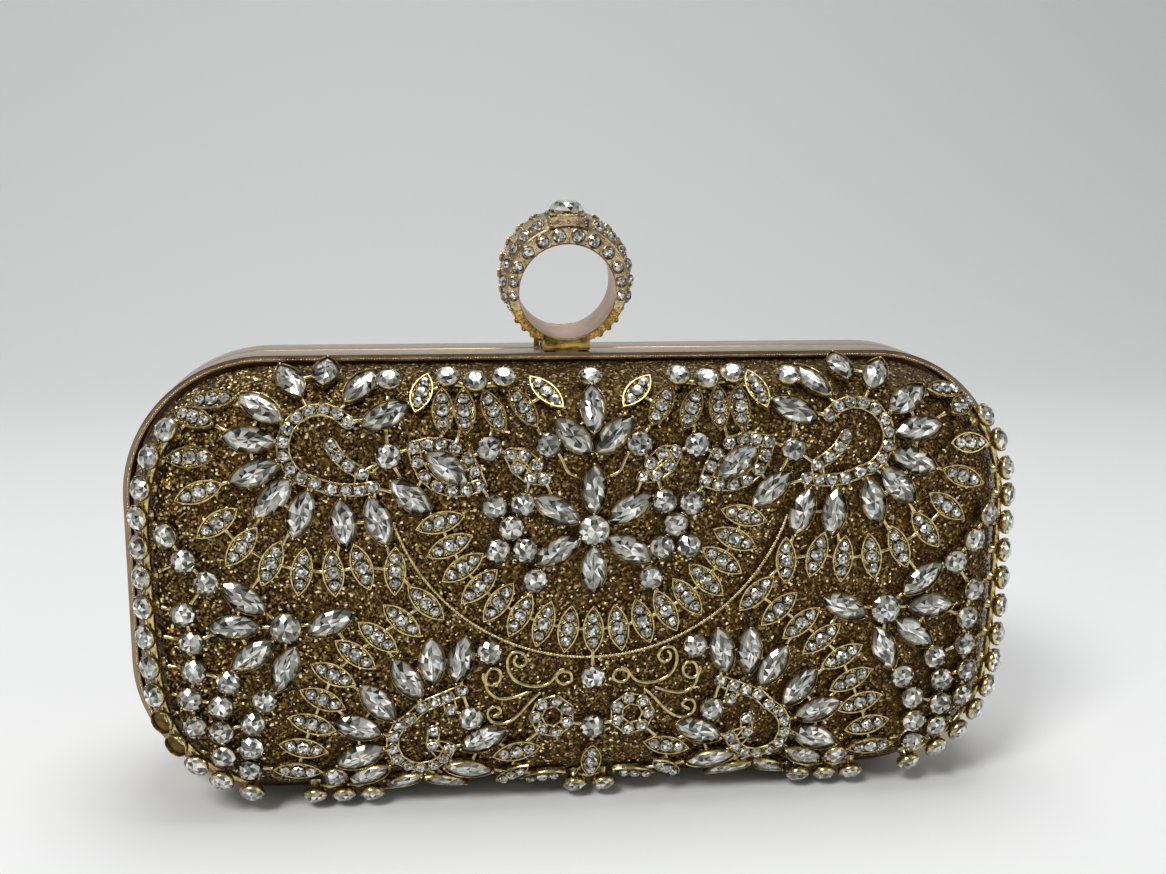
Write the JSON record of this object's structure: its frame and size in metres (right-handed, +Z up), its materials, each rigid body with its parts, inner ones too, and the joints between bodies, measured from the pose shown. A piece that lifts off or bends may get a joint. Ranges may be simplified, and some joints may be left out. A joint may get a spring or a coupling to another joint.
{
  "type": "minaudiere evening case",
  "caption": "Hard evening case with a finger ring on its clasp, domed glitter cloth panels and a crystal front.",
  "frame": {"origin": "bottom of the closed case, at its middle in the seam between the two halves", "axes": "+X along the width, front towards -Y, +Z up"},
  "size_m": [0.178, 0.0523, 0.119],
  "materials": {
    "frame_rose": "satin",
    "hinge_brass": "satin",
    "pin_steel": "satin",
    "panel_brass": "matte",
    "glitter_cloth": "satin",
    "lining_fabric": "satin",
    "casting_gold": "satin",
    "crystal": "gloss",
    "ring_rose": "satin",
    "saddle_gold": "satin"
  },
  "bodies": {
    "back": {"back_frame": "frame_rose", "back_panel": "panel_brass", "back_cover": "glitter_cloth", "back_lining": "lining_fabric", "back_hinge_leaf": "hinge_brass", "hinge_pin": "pin_steel", "clasp_lugs": "saddle_gold", "clasp_pin": "pin_steel"},
    "front": {"front_frame": "frame_rose", "front_panel": "panel_brass", "front_cover": "glitter_cloth", "front_lining": "lining_fabric", "front_hinge_leaf": "hinge_brass", "catch_plate": "saddle_gold", "edge_cups": "casting_gold", "round_cups": "casting_gold", "flower_cups": "casting_gold", "petal_settings": "casting_gold", "leaf_settings": "casting_gold", "pave_cups": "casting_gold", "arc_wire": "casting_gold", "scroll_wires": "casting_gold", "edge_stones": "crystal", "round_stones": "crystal", "flower_stones": "crystal", "petal_stones": "crystal", "leaf_stones": "crystal", "pave_stones": "crystal"},
    "clasp": {"saddle": "saddle_gold", "finger_ring": "ring_rose", "ring_bevel_stones": "crystal", "ring_crown_stones": "crystal", "ring_beads": "saddle_gold", "ring_bezel": "saddle_gold", "ring_solitaire": "crystal"}
  },
  "joints": [
    {"name": "case_hinge", "type": "hinge", "parent": "back", "child": "front", "pos_m": [0, 0, 0.00135], "axis": [1, 0, 0], "range_deg": [0, 80]},
    {"name": "ring_clasp", "type": "hinge", "parent": "back", "child": "clasp", "pos_m": [-0.0018, 0.0057, 0.09015], "axis": [1, 0, 0], "range_deg": [-25, 0], "stiffness_Nm_per_rad": 0.04, "springref_deg": 11.46}
  ]
}
